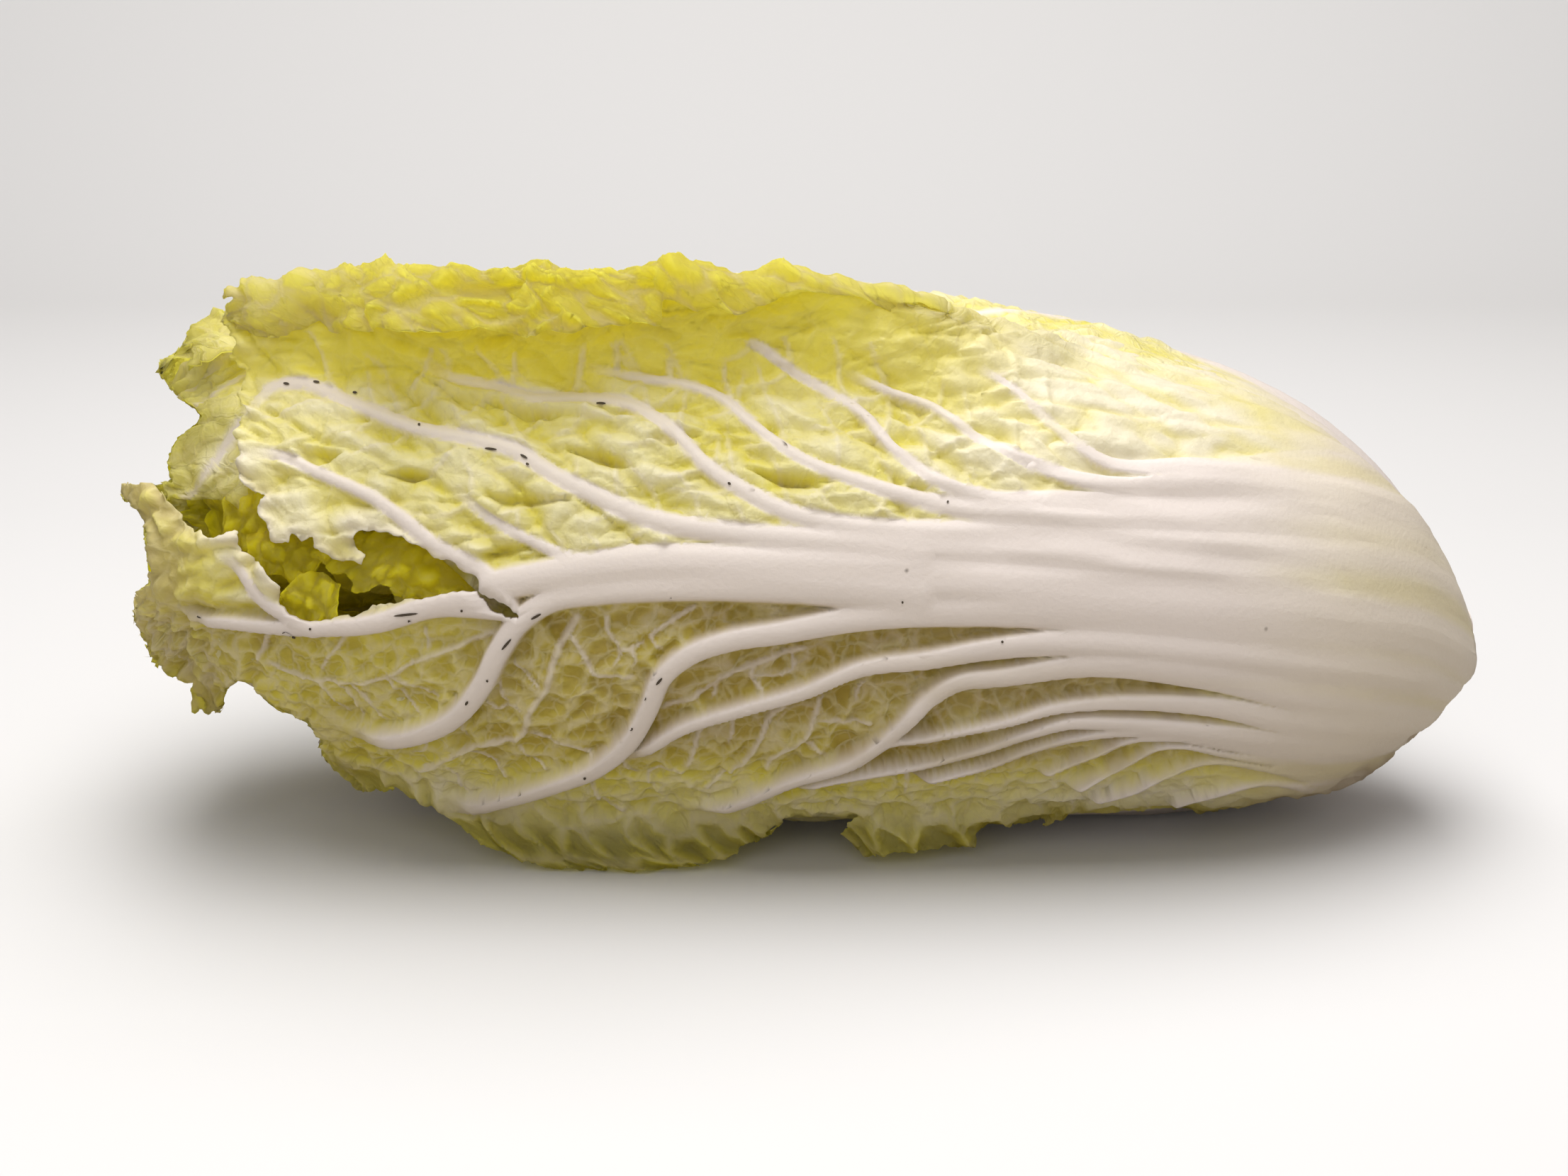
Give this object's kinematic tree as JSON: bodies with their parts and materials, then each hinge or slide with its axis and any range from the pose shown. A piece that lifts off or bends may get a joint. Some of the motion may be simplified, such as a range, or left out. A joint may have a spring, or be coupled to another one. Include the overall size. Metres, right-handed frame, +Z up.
{
  "type": "napa cabbage",
  "caption": "Head of napa cabbage lying on its side: crinkled leaves on broad pale midribs wrap round a short cut stem. The front leaf curls over along its top edge and is torn near the tip.",
  "frame": {"origin": "centre of the bounding box's underside, on the surface that the head rests on", "axes": "+X along the head towards the cut stem, -Y towards the torn front leaf, +Z up"},
  "size_m": [0.298, 0.13, 0.1313],
  "materials": {
    "outer_leaf": "waxy, thin and slightly translucent, pale yellow-green between white veins",
    "inner_leaf": "waxy, crinkled and translucent, yellow",
    "stem": "moist, firm and off-white"
  },
  "bodies": {
    "root": {"leaf_01": "outer_leaf", "leaf_02": "outer_leaf", "leaf_03": "outer_leaf", "leaf_04": "outer_leaf", "leaf_05": "outer_leaf", "leaf_06": "outer_leaf", "leaf_07": "outer_leaf", "leaf_08": "outer_leaf", "leaf_09": "inner_leaf", "leaf_10": "inner_leaf", "leaf_11": "inner_leaf", "leaf_12": "inner_leaf", "leaf_13": "inner_leaf", "leaf_14": "inner_leaf", "leaf_15": "inner_leaf", "leaf_16": "inner_leaf", "leaf_17": "inner_leaf", "leaf_18": "inner_leaf", "leaf_19": "inner_leaf", "leaf_20": "inner_leaf", "leaf_21": "inner_leaf", "leaf_22": "inner_leaf", "leaf_23": "inner_leaf", "leaf_24": "inner_leaf", "leaf_25": "inner_leaf", "leaf_26": "inner_leaf", "leaf_27": "inner_leaf", "leaf_28": "inner_leaf", "stem": "stem"}
  },
  "joints": []
}
